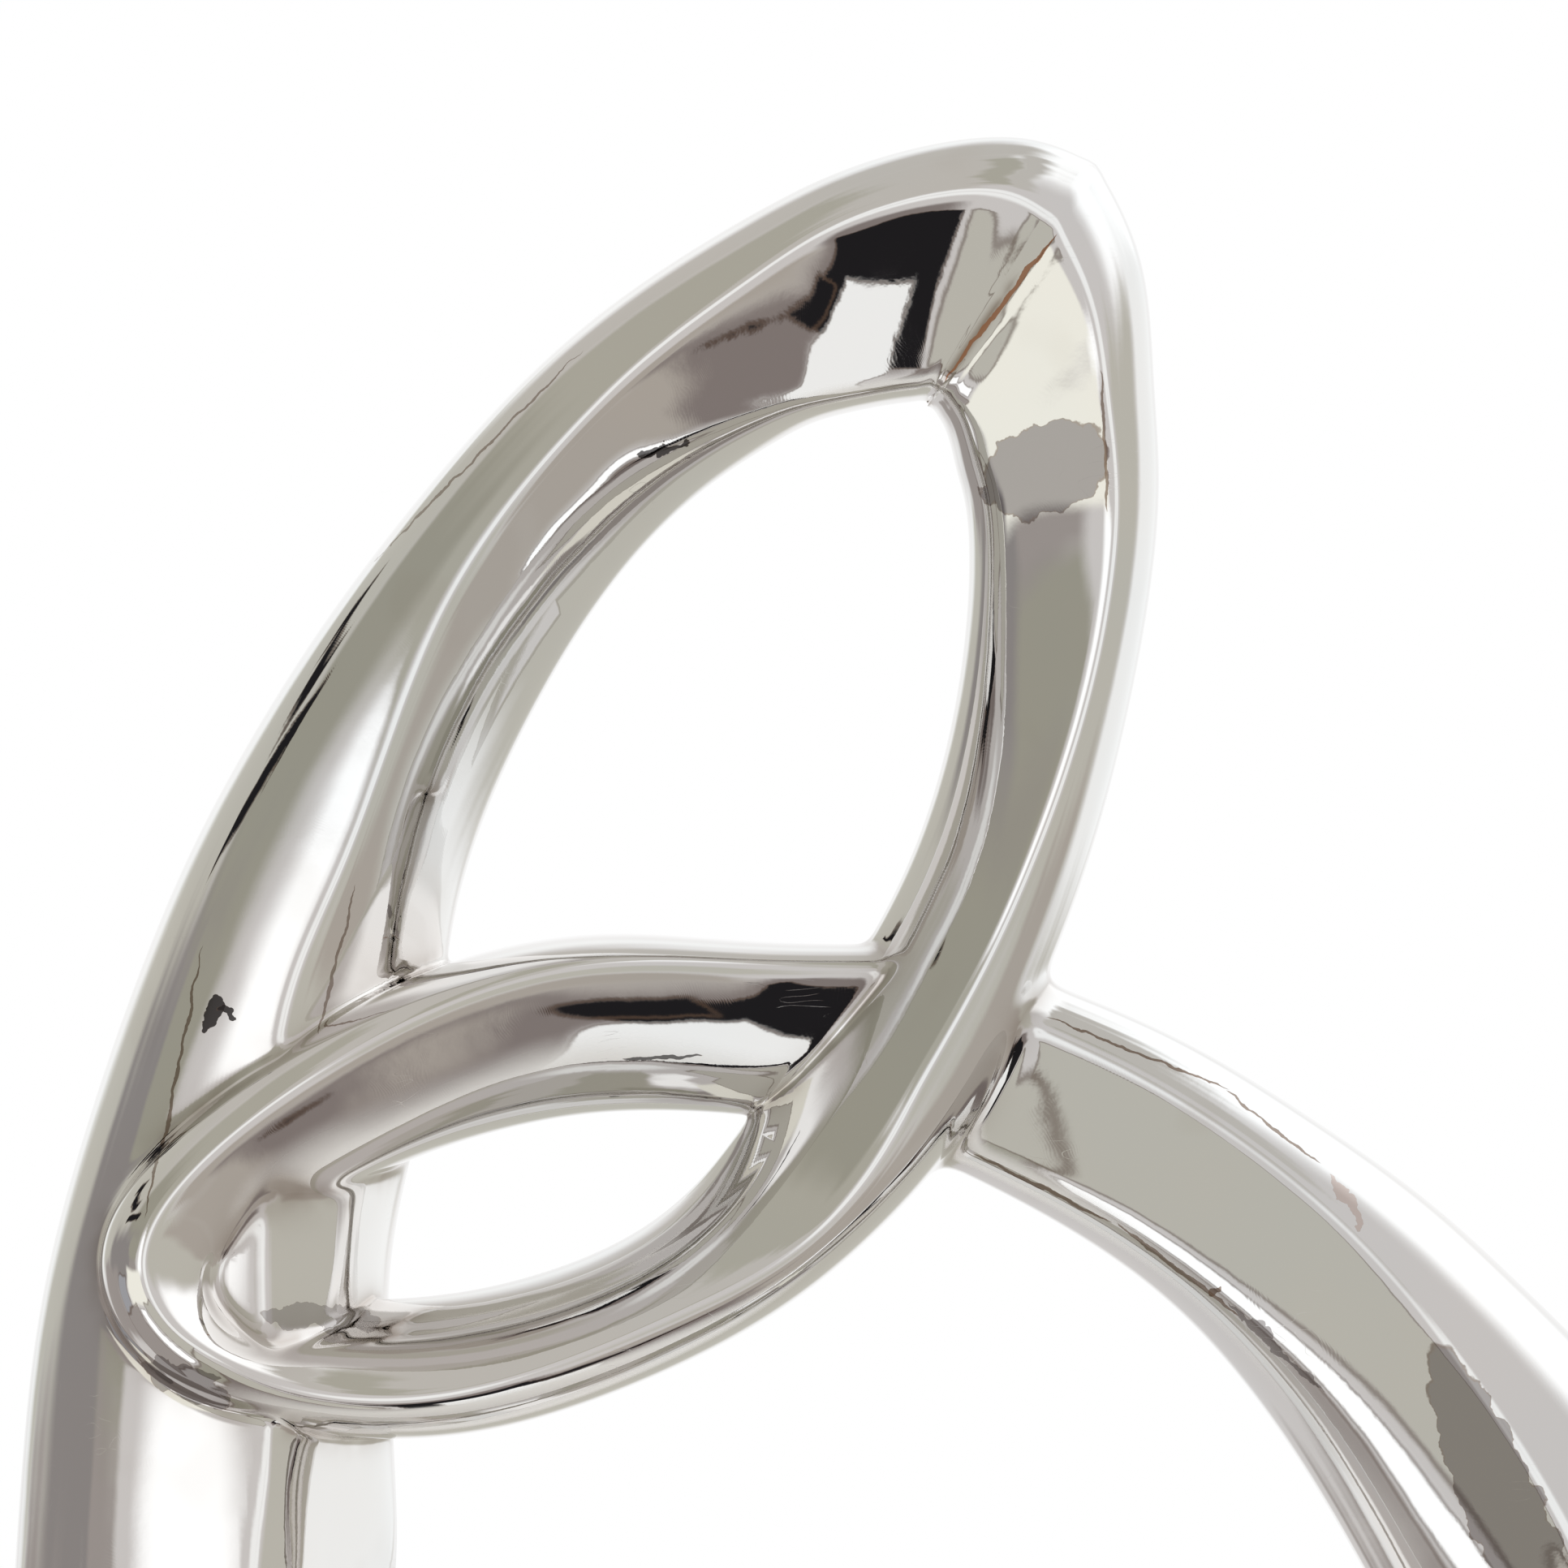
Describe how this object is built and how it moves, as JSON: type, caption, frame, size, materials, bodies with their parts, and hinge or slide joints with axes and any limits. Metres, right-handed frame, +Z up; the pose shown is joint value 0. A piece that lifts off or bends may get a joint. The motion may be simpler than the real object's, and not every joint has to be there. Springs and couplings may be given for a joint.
{
  "type": "ceramic loop sculpture",
  "caption": "Tall abstract ornament: a ridged mirror-glazed ribbon rises as a column, forms a pointed leaf loop and a small eye loop, and closes a large lower loop on a flat foot.",
  "frame": {"origin": "middle of the bounding box's underside, where the felt pads rest", "axes": "+Z up along the height, +X to the viewer's right in the front view, +Y from front to back; the front with the eye loop's scroll faces -Y"},
  "size_m": [0.317, 0.0847, 0.4518],
  "materials": {
    "glaze": "metallic silver lustre glaze, mirror bright, slightly warm, fired over white earthenware",
    "felt": "dark pressed wool felt"
  },
  "bodies": {
    "root": {"column": "glaze", "foot": "glaze", "arch": "glaze", "right_arm": "glaze", "eye_loop": "glaze", "felt_pad_1": "felt", "felt_pad_2": "felt", "felt_pad_3": "felt", "felt_pad_4": "felt"}
  },
  "joints": []
}
